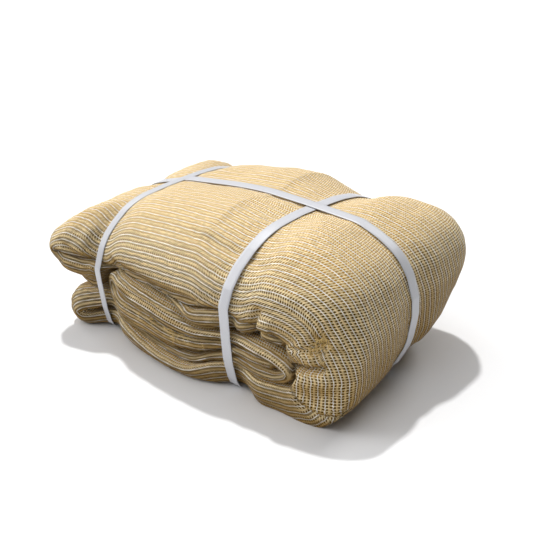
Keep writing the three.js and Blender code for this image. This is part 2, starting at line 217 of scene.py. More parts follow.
def sections_of(stations):
    """The closed sections: arrays of y and height over the fold line, a row for each station."""
    column = {name: values[:, None] for name, values in stations.items()}
    draw = TROUGH_DEPTH * cross_trough(column["x"])
    front = column["front"] + draw
    back = column["back"] - draw

    def corner(edge, inward, round_width, power, turn):
        return edge + inward * round_width * (1 - np.cos(turn)), column["right"] * np.sin(turn) ** power

    def lip(edge, inward, turn):
        return edge + inward * LIP_ROUND * (1 - np.cos(turn)), -column["left"] * np.sin(turn)

    quarter = math.pi / 2
    front_turn = np.linspace(0, quarter, FRONT_STEPS + 1)[None]
    back_turn = np.linspace(quarter, 0, BACK_STEPS + 1)[None]
    front_y, front_up = corner(front, 1, column["round_front"], SHOULDER, front_turn)
    back_y, back_up = corner(back, -1, column["round_back"], 1, back_turn)
    share = (np.arange(1, FLAT_STEPS) / FLAT_STEPS)[None]
    flat_y = (front + column["round_front"]) * (1 - share) + (back - column["round_back"]) * share
    lip_turn = np.linspace(0, quarter, LIP_STEPS + 1)[None, 1:]
    back_lip_y, back_lip_up = lip(back, -1, lip_turn)
    front_lip_y, front_lip_up = lip(front, 1, lip_turn[:, ::-1])
    share = (np.arange(1, INNER_STEPS) / INNER_STEPS)[None]
    inner_y = (back - LIP_ROUND) * (1 - share) + (front + LIP_ROUND) * share
    y = np.hstack([front_y, flat_y, back_y, back_lip_y, inner_y, front_lip_y])
    flat_up = column["right"] + 0 * flat_y
    inner_up = -column["left"] + 0 * inner_y
    return y, np.hstack([front_up, flat_up, back_up, back_lip_up, inner_up, front_lip_up])


def placed_sections(stations):
    """The sections set up in space: drawn in under the straps and flat on the floor."""
    y, up = sections_of(stations)
    column = {name: values[:, None] for name, values in stations.items()}
    felt = np.maximum(cross_trough(column["x"]), trough(y - STRAP_LONG_Y)) * column["tied"]
    share = np.maximum(up, 0) / column["right"]
    drawn = np.where(-column["tx"] > UNDERSIDE, TROUGH_DEPTH * felt, 0)
    height = up - share * (drawn + column["lean"] * np.maximum(y - column["from"], 0) / 100)
    z = column["z"] - column["tx"] * height
    return np.stack([column["x"] + column["tz"] * height, y, np.maximum(z, TROUGH_UNDER * felt)], axis=2)


# Listed creases and swellings. Each runs from one place to another on a side of the bundle, where a
# place is x and y on the top, and x and z on the front. It has a half width and a height, below zero for a
# crease, and it is felt on the layers named.
CREASE_COLUMNS = ["side", "start", "end", "half_width", "height", "layers"]
CREASES = [
    # the inner roll, and the bump, the notch and the second lip over it
    ("front", (72, 55), (146, 55), 26, 5, ("tongue", "third layer", "fourth layer")),
    ("front", (76, 56), (124, 56), 14, 4, ("tongue",)),
    ("front", (80, 91), (80, 91), 18, 6, ("top layer", "second layer")),
    ("front", (97, 80), (103, 112), 7, -7, ("top layer", "second layer")),
    ("front", (114, 98), (138, 96), 17, 4, ("top layer", "second layer")),
    # folds that run from the right cross strap, over the shoulder and down the front
    ("top", (-4, -110), (72, -101), 7, -2.2, ("top layer",)),
    ("top", (2, -100), (62, -94), 6, 1.8, ("top layer",)),
    ("top", (26, -96), (66, -92), 5, -2, ("top layer",)),
    ("top", (68, -106), (112, -106), 5, -1.5, ("top layer",)),
    ("top", (70, -98), (118, -94), 6, 1, ("top layer",)),
    ("top", (70, -100), (134, -101), 5, -1, ("top layer",)),
    ("front", (66, 110), (110, 118), 4, -1, ("top layer",)),
    ("front", (66, 126), (104, 132), 5, -0.8, ("top layer",)),
    # the mouth beside the left cross strap, and the ridges of the lobe inside it
    ("front", (-108, 84), (-30, 72), 5, -2.5, ("third layer",)),
    ("front", (-100, 76), (-40, 65), 4, 2, ("third layer",)),
    # the lower edge of the arch, which turns in under the shoulder
    ("front", (-104, 98), (24, 98), 10, -8, ("top layer",)),
    # the front of the wrapped end: its two lobes, the creases below each, and the fold line over them
    ("front", (148, 65), (178, 72), 6, -9, ("wrapped end",)),
    ("front", (146, 64), (162, 68), 6, -6, ("wrapped end",)),
    ("front", (158, 84), (166, 80), 16, 5, ("wrapped end",)),
    ("front", (164, 55), (182, 58), 16, 5, ("wrapped end",)),
    ("front", (172, 98), (172, 98), 15, -5, ("wrapped end", "top layer")),
    ("front", (173, 97), (175, 99), 6, -4, ("wrapped end", "top layer")),
    ("front", (154, 88), (196, 90), 4, -3, ("wrapped end", "top layer")),
    # the upper left lobe
    ("front", (-177, 74), (-133, 78), 14, 4, ("second layer", "upper lobe")),
    ("front", (-153, 102), (-148, 120), 15, 5, ("top layer", "upper lobe")),
    ("top", (-153, -118), (-150, -96), 15, 3, ("top layer", "upper lobe")),
    ("front", (-168, 60), (-136, 58), 10, -5, ("second layer",)),
    ("front", (-180, 106), (-143, 88), 6, -3, ("top layer", "upper lobe", "second layer")),
    ("front", (-172, 96), (-140, 82), 4, 1.5, ("top layer", "upper lobe", "second layer")),
]
# For each side: the two axes of its places, the axis that the cloth is pushed along, and which way is out
SIDE_AXES = {"top": (0, 1, 2, 1), "front": (0, 2, 1, -1)}
CREASE_FACING = 1.4  # over 1, a crease is felt in full on cloth that faces a little away from its side too


def outward_of(points):
    """The directions in which the skin faces."""
    around = np.roll(points, -1, axis=1) - np.roll(points, 1, axis=1)
    along = np.gradient(points, axis=0)
    out = np.cross(around, along)
    return out / np.maximum(np.linalg.norm(out, axis=2), 1e-9)[..., None]


def creased(points, layers):
    """The skin with its listed creases and swellings."""
    out = outward_of(points)
    moved = points.copy()
    for crease in CREASES:
        c = dict(zip(CREASE_COLUMNS, crease))
        first, second, pushed, sign = SIDE_AXES[c["side"]]
        place = points[..., [first, second]]
        start = np.array(c["start"], float)
        run = np.array(c["end"], float) - start
        t = np.clip(((place - start) @ run) / max(run @ run, 1e-9), 0, 1)
        distance = np.linalg.norm(place - start - t[..., None] * run, axis=2) / c["half_width"]
        felt = np.maximum(1 - distance**2, 0) ** 2 * np.clip(CREASE_FACING * sign * out[..., pushed], 0, 1)
        felt *= np.isin(layers, c["layers"])[:, None]
        moved[..., pushed] += sign * c["height"] * felt
    return moved


# Small ripples that any folded cloth keeps: the lengths of their waves, and how high they are
RIPPLES = [(47, 0.3), (29, 0.3), (17, 0.25), (11, 0.2)]
RIPPLE_SEED = 7
RIPPLE_WAVES = 3  # waves of each length, each in a way of its own
RIPPLE_BEND = 9  # how far a wave bends to and fro
RIPPLE_BEND_RUN = 61  # over what distance on the cloth it does so
RIPPLE_STRETCH = 1.6  # how much longer the waves are along the stripes
LYING_UNDER = 6  # lower than this, the cloth lies on the floor and the ripples fade out


def rippled(points, u, v):
    """The skin with small seeded ripples, least where it lies on the floor."""
    out = outward_of(points)
    chance = np.random.default_rng(RIPPLE_SEED)
    height = np.zeros(u.shape)
    for length, rise in RIPPLES:
        for _ in range(RIPPLE_WAVES):
            angle = chance.uniform(0, math.pi)
            phase = chance.uniform(0, 2 * math.pi)
            bend = RIPPLE_BEND * np.sin(v / RIPPLE_BEND_RUN + chance.uniform(0, 6))
            wave = (u + bend) * math.cos(angle) / RIPPLE_STRETCH + v * math.sin(angle)
            height += rise / 2 * np.sin(2 * math.pi * wave / length + phase)
    free = np.clip(points[..., 2] / LYING_UNDER, 0, 1)
    return points + out * (height * free)[..., None]


# Where the stripes lie. They are measured from the middle of the top on the layers that show it, and carry
# on evenly over the layers between. The pattern has its seam out of sight, in the middle of the inner side.
STRIPE_PITCH = 7.8 * MM  # from one white stripe to the next
RIDGE_LAYERS = ("top layer", "upper lobe", "wrapped end")
DRIFT = 0.13  # how far the stripes stray to the back for each millimetre towards the wrapped end
DRIFT_FROM = 40  # and from which x on
SEAM = FRONT_STEPS + FLAT_STEPS + BACK_STEPS + LIP_STEPS + INNER_STEPS // 2


def distances(points, layers):
    """True distances on the skin, along the stripes and across them. Across them they come twice, once
    for the outer side of the seam, and once for the inner side."""
    count, size = points.shape[:2]
    along = np.linalg.norm(np.diff(points, axis=0), axis=2)
    u = np.vstack([np.zeros(size), np.cumsum(along, axis=0)])
    u -= u[int(np.argmax(points[:, FRONT_STEPS + FLAT_STEPS // 2, 0]))]
    around = np.linalg.norm(np.diff(np.hstack([points, points[:, :1]]), axis=1), axis=2)
    arc = np.hstack([np.zeros((count, 1)), np.cumsum(around, axis=1)])
    outer = FRONT_STEPS + FLAT_STEPS + BACK_STEPS
    ridge = [np.interp(STRAP_LONG_Y, points[i, :outer, 1], arc[i, :outer]) for i in range(count)]
    from_ridge = -np.array(ridge)
    seen = np.isin(layers, RIDGE_LAYERS).nonzero()[0]
    drifting = along[:, FRONT_STEPS] * (points[1:, FRONT_STEPS, 0] > DRIFT_FROM)
    drift = DRIFT * np.append(np.cumsum(drifting[::-1])[::-1], 0)
    drift -= drift[seen[-1]]
    edge = np.interp(np.arange(count), seen, (from_ridge - drift)[seen])
    v_outer = arc + edge[:, None]
    return u, v_outer, v_outer - arc[:, -1:]


# The corner of the wrapped end hangs over the layer beneath it like a flap. FLAP_EDGE is its lower edge,
# x and z seen from the front, and its stripes run straight down from the level FLAP_LEVEL.
FLAP_EDGE = [(138, 52), (149, 47), (156, 37), (168, 28), (182, 25), (200, 25)]
FLAP_LAYERS = ("wrapped end", "bottom layer")
FLAP_LEVEL = 64
FLAP_OUT = 6  # how far it stands out at its edge
FLAP_REACH = 26  # and how far above its edge it begins to
FLAP_SUNK = 18  # how far the layer beneath is sunk in at the edge
FLAP_UNDER = 15  # and how far below the edge that ends
FLAP_FADE = 1.5  # over 1, both fade out faster close to the edge
FLAP_FROM_X, FLAP_FADE_X = 142, 6  # it begins here along the front, over this width
FLAP_FROM_Y, FLAP_FADE_Y = -95, 18  # and here round the front corner
SNAP = 1.4  # places as near as this to the edge are moved still nearer
SNAP_LEAST = 0.35  # but no nearer than this

# The two lobes of its edge that bulge over the mouth: middle in x and z, half width and how far they bulge
LOBES = [(152, 82, 17, 9), (158, 47, 15, 5)]
LOBE_FROM_Y, LOBE_FADE_Y = -108, 12  # they begin here round the front corner, over this width


def over_flap_edge(points):
    """How far each place lies above the lower edge of the flap, and how much it is on the front corner."""
    x, y, z = np.moveaxis(points, 2, 0)
    edge_x, edge_z = np.array(FLAP_EDGE, float).T
    level = np.interp(x, edge_x, edge_z)
    run = np.diff(edge_x)
    slope = np.interp(x, edge_x[:-1] + run / 2, np.diff(edge_z) / run)
    front = np.clip((FLAP_FROM_Y - y) / FLAP_FADE_Y, 0, 1) * np.clip((x - FLAP_FROM_X) / FLAP_FADE_X, 0, 1)
    return (z - level) / np.sqrt(1 + slope**2), front


def flap_hung(points, layers):
    """The skin with the flap standing out over the layer beneath."""
    moved = points.copy()
    over, front = over_flap_edge(points)
    near = np.clip(1 - np.abs(over) / (3 * SNAP), 0, 1) * (front > 0)
    snapped = np.sign(over) * np.maximum(np.abs(over) - SNAP * near, SNAP_LEAST)
    moved[..., 2] += np.where(near > 0, snapped - over, 0)
    fade = np.clip(1 - np.abs(over) / np.where(over > 0, FLAP_REACH, FLAP_UNDER), 0, 1) ** FLAP_FADE
    facing_front = np.clip(0.4 - 1.4 * outward_of(points)[..., 1], 0, 1)
    on_flap = np.isin(layers, FLAP_LAYERS)[:, None]
    moved[..., 1] -= facing_front * front * fade * on_flap * np.where(over > 0, FLAP_OUT, -FLAP_SUNK)
    at_front = np.clip((LOBE_FROM_Y - points[..., 1]) / LOBE_FADE_Y, 0, 1) * on_flap
    for x, z, half, shift in LOBES:
        distance = np.hypot(points[..., 0] - x, points[..., 2] - z) / half
        moved[..., 0] -= shift * np.maximum(1 - distance**2, 0) ** 2 * at_front
    return moved


END_X = 190  # farther right than this, the skin is the outside of the wrapped end
RIM_AHEAD = 40  # how far the rim that the stripes hang from is carried on over the mouth
HUNG_FADE = 8  # the height over which the stripes turn down the flap
HUNG_STEPS = 12  # steps of a section, past the front corner, that are still on the flap


def stripes_hung(points, u, v_outer, v_inner):
    """The same distances, but straight down the flap."""
    end = (points[:, FRONT_STEPS, 0] > END_X).nonzero()[0]
    level = end[int(np.argmin(np.abs(points[end, FRONT_STEPS, 2] - FLAP_LEVEL)))]
    rim = points[level, : FRONT_STEPS + 1]
    rim_v = v_outer[level, : FRONT_STEPS + 1]
    rim_u = u[level, : FRONT_STEPS + 1]
    before = np.linspace(RIM_AHEAD, 1, RIM_AHEAD)[:, None]
    rim_v = np.concatenate([rim_v[0] - before[:, 0], rim_v])
    rim_u = np.concatenate([np.full(RIM_AHEAD, rim_u[0]), rim_u])
    rim = np.vstack([rim[:1] - before * [1, 0, 0], rim])
    over, front = over_flap_edge(points)
    front *= np.clip((FLAP_LEVEL - points[..., 2]) / HUNG_FADE, 0, 1) * (over > 0)
    front[:, FRONT_STEPS + HUNG_STEPS : -LIP_STEPS] = 0
    for i, k in zip(*front.nonzero()):
        place = points[i, k, :2]
        nearest = np.linalg.norm(rim[:, :2] - place, axis=1)
        j = int(np.argmin(nearest))
        far = [max(j - 1, 0), min(j + 1, len(rim) - 1)]
        other = far[0] if nearest[far[0]] < nearest[far[1]] else far[1]
        share = nearest[j] / max(nearest[j] + nearest[other], 1e-9)
        new_v = rim_v[j] * (1 - share) + rim_v[other] * share
        new_u = rim_u[j] * (1 - share) + rim_u[other] * share + (points[i, k, 2] - rim[j, 2])
        for v in (v_outer, v_inner):
            v[i, k] += (new_v - v[i, k]) * front[i, k]
        u[i, k] += (new_u - u[i, k]) * front[i, k]
    v_inner[:, -1] = v_outer[:, 0]
    return u, v_outer, v_inner


def sail_mesh(points, u, v_outer, v_inner):
    """The skin through all the sections, closed at its two ends, with the distances as its map."""
    count, size = points.shape[:2]
    grid = np.arange(count * size).reshape(count, size)
    beside = np.roll(grid, -1, axis=1)
    quads = np.stack([grid[:-1], beside[:-1], beside[1:], grid[1:]], axis=2).reshape(-1, 4)
    hubs = [points[0].mean(axis=0), points[-1].mean(axis=0)]
    first = [(count * size, int(b), int(a)) for a, b in zip(grid[0], beside[0])]
    last = [(count * size + 1, int(a), int(b)) for a, b in zip(grid[-1], beside[-1])]
    mesh = bpy.data.meshes.new("folded_sail_cloth")
    vertices = (np.vstack([points.reshape(-1, 3), hubs]) - MIDDLE) * MM
    mesh.from_pydata(vertices.tolist(), [], quads.tolist() + first + last)
    mesh.polygons.foreach_set("use_smooth", [True] * len(mesh.polygons))
    mesh.update()

    steps = np.arange(size)
    v_first = np.where(steps < SEAM, v_outer[:, :-1], v_inner[:, :-1])
    v_second = np.where(steps < SEAM, v_outer[:, 1:], v_inner[:, 1:])
    u_second = np.roll(u, -1, axis=1)
    u_of = np.stack([u[:-1], u_second[:-1], u_second[1:], u[1:]], axis=2)
    v_of = np.stack([v_first[:-1], v_second[:-1], v_second[1:], v_first[1:]], axis=2)
    corners = np.full((len(mesh.loops), 2), STRIPE_PITCH / 2 / MM)
    corners[: quads.size, 0] = u_of.ravel()
    corners[: quads.size, 1] = v_of.ravel()
    mesh.uv_layers.new(name="cloth").data.foreach_set("uv", (corners * MM).ravel())
    return mesh


stations, layers = stations_of(FOLDS)
sail_points = flap_hung(creased(placed_sections(stations), layers), layers)
u, v, _ = distances(sail_points, layers)
sail_points = rippled(sail_points, u, v[:, :-1])
stripes = stripes_hung(sail_points, *distances(sail_points, layers))
sail = bpy.data.objects.new("sail_cloth", sail_mesh(sail_points, *stripes))
bpy.context.collection.objects.link(sail)

# The knit. White wales and wheat wales run along the cloth by turns, with a row of holes between them that
# bars part from one another. Places across the wales are shares of STRIPE_PITCH from the middle of a white
# one, and places along them are shares of HOLE_PITCH from the middle of a bar. Where two numbers are given,
# an edge is soft between them.
HOLE_PITCH = 2.95 * MM  # from one bar to the next
WHITE_EDGE = (0.05, 0.09)
WHITE_WAIST = 0.06  # how much narrower a white wale is between two bars
HOLE_ROW = 0.225  # middle of a row of holes
HOLE_ROW_EDGE = (0.11, 0.15)  # and its half width
BAR_EDGE = (0.14, 0.22)
WHEAT_EDGE = (0.3, 0.44)
LOOP_GAP_EDGE = (0.3, 0.45)  # the gaps between the loops of a wheat wale: across it
LOOP_GAP_ENDS = (0.2, 0.42)  # and along it
LOOP_GAP_SHADE = 0.5
WANDER = 1.2 * MM  # how far the yarns wander
WANDER_ALONG = 0.8  # how much of that they do along the wales too
PAINTED_HOLE_LIGHT_FACING = (0.45, 0.98)  # how far up a place has to face for its holes to be painted lit, as if light fell through them
PAINTED_YARN_SHADE_FACING = (-0.45, 0.85)  # and for its yarns no longer to be painted in shade

WHITE_YARN = (0.93, 0.92, 0.90)
WHITE_PAINTED_SHADE = (0.44, 0.41, 0.36)  # painted shade on a white yarn that faces down
WHEAT_DARK = (0.66, 0.46, 0.17)
WHEAT_LIGHT = (0.90, 0.72, 0.38)
# a painted sheen, laid on the fibres and the bars of the wheat yarn
WHEAT_SHEEN = (0.98, 0.87, 0.60)
WHEAT_PAINTED_SHADE = (0.43, 0.32, 0.13)  # painted shade on wheat yarns that face down
WHEAT_GAP_PAINTED_SHADE = (0.34, 0.19, 0.05)  # painted shade in the gaps between the loops of a wheat wale
HOLE_PAINTED_SHADE = (0.10, 0.050, 0.006)  # painted shade in a hole on a side
HOLE_PAINTED_LIGHT = (0.50, 0.27, 0.05)  # and painted light in a hole on the top

# How high each part of the knit stands, as shares of KNIT_RELIEF
KNIT_RELIEF = 0.7 * MM
WHEAT_HEIGHT = 0.9
BAR_HEIGHT = 0.7
LOOP_HEIGHT = 1.15
LOOP_SAG = 0.3  # how much lower the wales are between two bars
HOLE_DEPTH = 0.9
FIBRE_HEIGHT = 0.25


def knit_material():
    """The knitted cloth, its pattern in true distances on the skin."""
    material = bpy.data.materials.new("knitted_shade_cloth")
    material.use_nodes = True
    nodes = material.node_tree.nodes
    links = material.node_tree.links
    nodes.clear()

    def node(kind, **values):
        made = nodes.new(kind)
        for name, value in values.items():
            setattr(made, name, value)
        return made

    def math_node(operation, a, b=None, c=None):
        made = node("ShaderNodeMath", operation=operation)
        for socket, value in zip(made.inputs, (a, b, c)):
            if isinstance(value, (int, float)):
                socket.default_value = value
            elif value is not None:
                links.new(value, socket)
        return made.outputs[0]

    def smooth_step(value, edge, to_low=0.0, to_high=1.0):
        made = node("ShaderNodeMapRange", interpolation_type="SMOOTHSTEP", clamp=True)
        links.new(value, made.inputs["Value"])
        for name, number in zip(("From Min", "From Max", "To Min", "To Max"), (*edge, to_low, to_high)):
            made.inputs[name].default_value = number
        return made.outputs["Result"]

    def mixed(factor, a, b):
        made = node("ShaderNodeMix", data_type="RGBA")
        links.new(factor, made.inputs[0])
        for socket, value in ((made.inputs[6], a), (made.inputs[7], b)):
            if isinstance(value, tuple):
                socket.default_value = (*value, 1)
            else:
                links.new(value, socket)
        return made.outputs[2]

    def multiplied(a, b):
        made = node("ShaderNodeVectorMath", operation="MULTIPLY")
        links.new(a, made.inputs[0])
        links.new(b, made.inputs[1])
        return made.outputs[0]

    def scaled(value, factor):
        made = node("ShaderNodeVectorMath", operation="SCALE")
        links.new(value, made.inputs[0])
        links.new(factor, made.inputs["Scale"])
        return made.outputs[0]

    def noise(place, stretch, detail):
        made = node("ShaderNodeTexNoise", noise_dimensions="2D")
        made.inputs["Scale"].default_value = 1
        made.inputs["Detail"].default_value = detail
        stretched = node("ShaderNodeVectorMath", operation="MULTIPLY")
        stretched.inputs[1].default_value = (*stretch, 1)
        links.new(place, stretched.inputs[0])
        links.new(stretched.outputs[0], made.inputs["Vector"])
        return made.outputs[0]

    where = node("ShaderNodeUVMap", uv_map="cloth").outputs[0]
    parts = node("ShaderNodeSeparateXYZ")
    links.new(where, parts.inputs[0])
    u, v = parts.outputs[0], parts.outputs[1]

    # the yarns wander a little
    strayed = math_node("SUBTRACT", noise(where, (60, 60), 2), 0.5)
    wander = math_node("MULTIPLY", strayed, WANDER)
    across = math_node("DIVIDE", math_node("ADD", v, wander), STRIPE_PITCH)
    strayed_u = math_node("ADD", u, math_node("MULTIPLY", wander, WANDER_ALONG))
    along = math_node("DIVIDE", strayed_u, HOLE_PITCH)

    # 0 in the middle of a white wale and of a bar, 0.5 in the middle of a wheat wale and between two bars
    from_white = math_node("PINGPONG", across, 0.5)
    from_bar = math_node("PINGPONG", along, 0.5)
    open_place = smooth_step(from_bar, BAR_EDGE)
    with_waist = math_node("ADD", from_white, math_node("MULTIPLY", from_bar, WHITE_WAIST))
    white = smooth_step(with_waist, WHITE_EDGE, 1, 0)
    from_hole_row = math_node("ABSOLUTE", math_node("SUBTRACT", from_white, HOLE_ROW))
    in_hole_row = smooth_step(from_hole_row, HOLE_ROW_EDGE, 1, 0)
    hole = math_node("MULTIPLY", in_hole_row, open_place)
    bar = math_node("MULTIPLY", in_hole_row, math_node("SUBTRACT", 1, open_place))

    # painted light and shade in the holes: lit gold where the cloth faces up, as if light fell through onto
    # the plies below, and dark on the sides
    facing = node("ShaderNodeSeparateXYZ")
    links.new(node("ShaderNodeNewGeometry").outputs["Normal"], facing.inputs[0])
    painted_hole_light = smooth_step(facing.outputs[2], PAINTED_HOLE_LIGHT_FACING)
    behind = mixed(painted_hole_light, HOLE_PAINTED_SHADE, HOLE_PAINTED_LIGHT)

    # wheat yarn: blotched, with a painted sheen along its fibres and on the bars, and painted shade between
    # its loops
    fibres = noise(where, (900, 2600), 3)
    blotches = noise(where, (22, 22), 3)
    wheat = mixed(blotches, WHEAT_DARK, WHEAT_LIGHT)
    wheat = mixed(math_node("MULTIPLY", fibres, 0.6), wheat, WHEAT_SHEEN)
    wheat = mixed(math_node("MULTIPLY", bar, 0.7), wheat, WHEAT_SHEEN)
    gap_along = smooth_step(from_bar, LOOP_GAP_ENDS, 0, LOOP_GAP_SHADE)
    loop_gap_painted_shade = math_node("MULTIPLY", gap_along, smooth_step(from_white, LOOP_GAP_EDGE))
    wheat = mixed(loop_gap_painted_shade, wheat, WHEAT_GAP_PAINTED_SHADE)

    # both yarns, with painted shade where they face down, and a little uneven
    painted_lit_share = smooth_step(facing.outputs[2], PAINTED_YARN_SHADE_FACING)
    wheat = multiplied(wheat, mixed(painted_lit_share, WHEAT_PAINTED_SHADE, (1, 1, 1)))
    white_yarn = mixed(painted_lit_share, WHITE_PAINTED_SHADE, WHITE_YARN)
    uneven = smooth_step(noise(where, (330, 260), 1), (0.3, 0.7), 0.78, 1.12)
    yarns = scaled(mixed(white, wheat, white_yarn), uneven)
    # the holes take their painted light or shade
    colour = mixed(hole, yarns, behind)

    # loops along the wales, and bars across the rows of holes
    wales = math_node("ADD", white, smooth_step(from_white, WHEAT_EDGE, 0, WHEAT_HEIGHT))
    raised = math_node("MAXIMUM", wales, math_node("MULTIPLY", bar, BAR_HEIGHT))
    loops = math_node("SUBTRACT", LOOP_HEIGHT, math_node("MULTIPLY", open_place, LOOP_SAG))
    height = math_node("MULTIPLY", raised, loops)
    height = math_node("SUBTRACT", height, math_node("MULTIPLY", hole, HOLE_DEPTH))
    height = math_node("ADD", height, math_node("MULTIPLY", fibres, FIBRE_HEIGHT))
    bump = node("ShaderNodeBump")
    bump.inputs["Strength"].default_value = 0.8
    bump.inputs["Distance"].default_value = KNIT_RELIEF
    links.new(height, bump.inputs["Height"])

    cloth = node("ShaderNodeBsdfPrincipled")
    cloth.inputs["Roughness"].default_value = 0.62
    cloth.inputs["Sheen Weight"].default_value = 0.04
    cloth.inputs["Sheen Roughness"].default_value = 0.5
    links.new(smooth_step(hole, (0, 0.6), 0.35, 0), cloth.inputs["Specular IOR Level"])
    links.new(colour, cloth.inputs["Base Color"])
    links.new(bump.outputs[0], cloth.inputs["Normal"])
    output = node("ShaderNodeOutputMaterial")
    links.new(cloth.outputs[0], output.inputs["Surface"])
    return material


CLOTH_THICK = 0.9 * MM
ply = sail.modifiers.new("ply", "SOLIDIFY")
ply.thickness = CLOTH_THICK
ply.offset = -1
sail.data.materials.append(knit_material())
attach(sail, "root")
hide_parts("folded_sail")

# Loose yarns. Flat ends of the golden yarn that have slipped out of the knit: a small tangle in the dent
# over the wrapped end, and a ragged row with one tuft along the third layer of the open front. Each is a
# short run of the same tape as in the cloth, in a loose loop that lies on it.
YARN_HALF = 0.24  # half its width
YARN_THIN = 0.1  # half its thickness
YARN_STEPS = 9
YARN_LEAST = 4  # a run of fewer places than this is left out
YARN_TURN = 0.55  # how sharply a yarn turns from one step to the next
YARN_CURL = 0.4  # and how unevenly
YARN_CLEAR = 0.3  # how far its ends are clear of the cloth
YARN_SEED = 11
NEAR_X, NEAR_Z = 7, 5  # how near to a yarn the cloth is looked for
TOUCHING = 2.5  # and how near the places are that it lies on
# Rows of yarns: from and to in x and z, how far they stray from that line, their number, their length, and
# how far they stand off
YARN_ROWS = [
    ((168, 94), (180, 99), 3, 30, 12, 2.4),
    ((-84, 60), (34, 49), 0.96, 40, 7, 1.0),
    ((-14, 51), (-4, 45), 1.5, 14, 9, 2.6),
]


def front_of(front_skin, x, z):
    """How far to the front the cloth reaches at a place seen from the front."""
    near = (np.abs(front_skin[:, 0] - x) < NEAR_X) & (np.abs(front_skin[:, 2] - z) < NEAR_Z)
    if not near.any():
        return None
    places = front_skin[near]
    distance = np.hypot(places[:, 0] - x, places[:, 2] - z)
    close = distance < max(TOUCHING, distance.min() + 0.5)
    return places[close, 1].min()


def yarn_run(front_skin, chance, start, end, stray, length, off):
    """The middle line of one loose yarn."""
    share = chance.random()
    x = start[0] + share * (end[0] - start[0]) + stray * chance.normal()
    z = start[1] + share * (end[1] - start[1]) + stray * chance.normal()
    way = chance.random() * 2 * math.pi
    turn = YARN_TURN * chance.normal()
    step = length * (0.6 + 0.8 * chance.random()) / YARN_STEPS
    lift = off * (0.3 + 0.7 * chance.random())
    run = []
    for k in range(YARN_STEPS + 1):
        y = front_of(front_skin, x, z)
        if y is not None:
            run.append((x, y - YARN_CLEAR - lift * math.sin(math.pi * k / YARN_STEPS), z))
        x += step * math.cos(way)
        z += step * math.sin(way)
        way += turn + YARN_CURL * chance.normal()
    return np.array(run)


def loose_yarns(front_skin):
    """All the loose yarns as one mesh of thin flat tapes."""
    chance = np.random.default_rng(YARN_SEED)
    vertices, faces = [], []
    for start, end, stray, number, length, off in YARN_ROWS:
        for _ in range(number):
            run = yarn_run(front_skin, chance, start, end, stray, length, off)
            if len(run) < YARN_LEAST:
                continue
            ahead = np.gradient(run, axis=0)
            ahead /= np.linalg.norm(ahead, axis=1)[:, None]
            wide = np.cross(ahead, [0, -1, 0])
            wide /= np.maximum(np.linalg.norm(wide, axis=1), 1e-6)[:, None]
            thin = np.cross(wide, ahead)
            first = len(vertices)
            for place, w, t in zip(run, wide * YARN_HALF, thin * YARN_THIN):
                vertices += [place + w + t, place - w + t, place - w - t, place + w - t]
            for k in range(len(run) - 1):
                a = first + 4 * k
                faces += [(a + c, a + (c + 1) % 4, a + 4 + (c + 1) % 4, a + 4 + c) for c in range(4)]
            last = len(vertices) - 4
            faces += [(first + 3, first + 2, first + 1, first), (last, last + 1, last + 2, last + 3)]
    mesh = bpy.data.meshes.new("loose_yarns")
    mesh.from_pydata(((np.array(vertices) - MIDDLE) * MM).tolist(), [], faces)
    mesh.update()
    return mesh


def loose_yarn_material():
    """The same golden plastic as in the knit, seen close and uneven."""
    material = bpy.data.materials.new("loose_golden_yarn")
    material.use_nodes = True
    nodes = material.node_tree.nodes
    links = material.node_tree.links
    plastic = nodes["Principled BSDF"]
    plastic.inputs["Roughness"].default_value = 0.5
    plastic.inputs["Specular IOR Level"].default_value = 0.4
    place = nodes.new("ShaderNodeTexCoord")
    noise = nodes.new("ShaderNodeTexNoise")
    noise.inputs["Scale"].default_value = 400
    tint = nodes.new("ShaderNodeMix")
    tint.data_type = "RGBA"
    tint.inputs[6].default_value = (0.50, 0.32, 0.09, 1)
    tint.inputs[7].default_value = (0.82, 0.62, 0.27, 1)
    bump = nodes.new("ShaderNodeBump")
    bump.inputs["Strength"].default_value = 0.4
    bump.inputs["Distance"].default_value = 0.0002
    links.new(place.outputs["Object"], noise.inputs["Vector"])
    links.new(noise.outputs[0], tint.inputs[0])
    links.new(noise.outputs[0], bump.inputs["Height"])
    links.new(tint.outputs[2], plastic.inputs["Base Color"])
    links.new(bump.outputs[0], plastic.inputs["Normal"])
    return material


faces_front = outward_of(sail_points)[..., 1] < -0.15
yarns = bpy.data.objects.new("loose_yarns", loose_yarns(sail_points[faces_front]))
bpy.context.collection.objects.link(yarns)
yarns.data.materials.append(loose_yarn_material())
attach(yarns, "root")
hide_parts("folded_sail")

# The three tie straps. Plain white plastic strapping, rolled flat with a fine raised pattern and pulled
# tight round the bundle, two across it and one along it. Each is closed on itself where it can't be seen.
STRAP_WIDTH = 13.5
STRAP_LEFT_WIDTH = 9  # the left cross strap looks narrower
STRAP_THICK = 0.8
STRAP_GAP = 0.45  # clear of the cloth, and of a strap beneath
STRAP_REACH = 0.6  # cloth as far as this beside a strap still holds it off
STRAP_SIDES = 240  # straight runs that its curve is made of
STRAP_EDGE = 0.35  # width of the round on its edges
STRAP_GROOVE_PAINTED_SHADE = (0.47, 0.475, 0.50, 1)  # painted shade in the grooves of its pattern
STRAP_LIGHT = (0.59, 0.595, 0.62, 1)
PATTERN_PITCH = 1.3 * MM
PATTERN_RELIEF = 0.4 * MM


def tight_outline(held, distance):
    """A closed curve pulled tight round the places held, at a distance from them. Each of its sides
    touches the farthest place in its own direction."""
    angle = 2 * math.pi * np.arange(STRAP_SIDES) / STRAP_SIDES
    reach = np.array([(held @ [math.cos(a), math.sin(a)]).max() for a in angle]) + distance
    after, then = np.roll(angle, -1), np.roll(reach, -1)
    across = math.sin(2 * math.pi / STRAP_SIDES)
    first = (reach * np.sin(after) - then * np.sin(angle)) / across
    second = (then * np.cos(angle) - reach * np.cos(after)) / across
    return np.stack([first, second], axis=1)


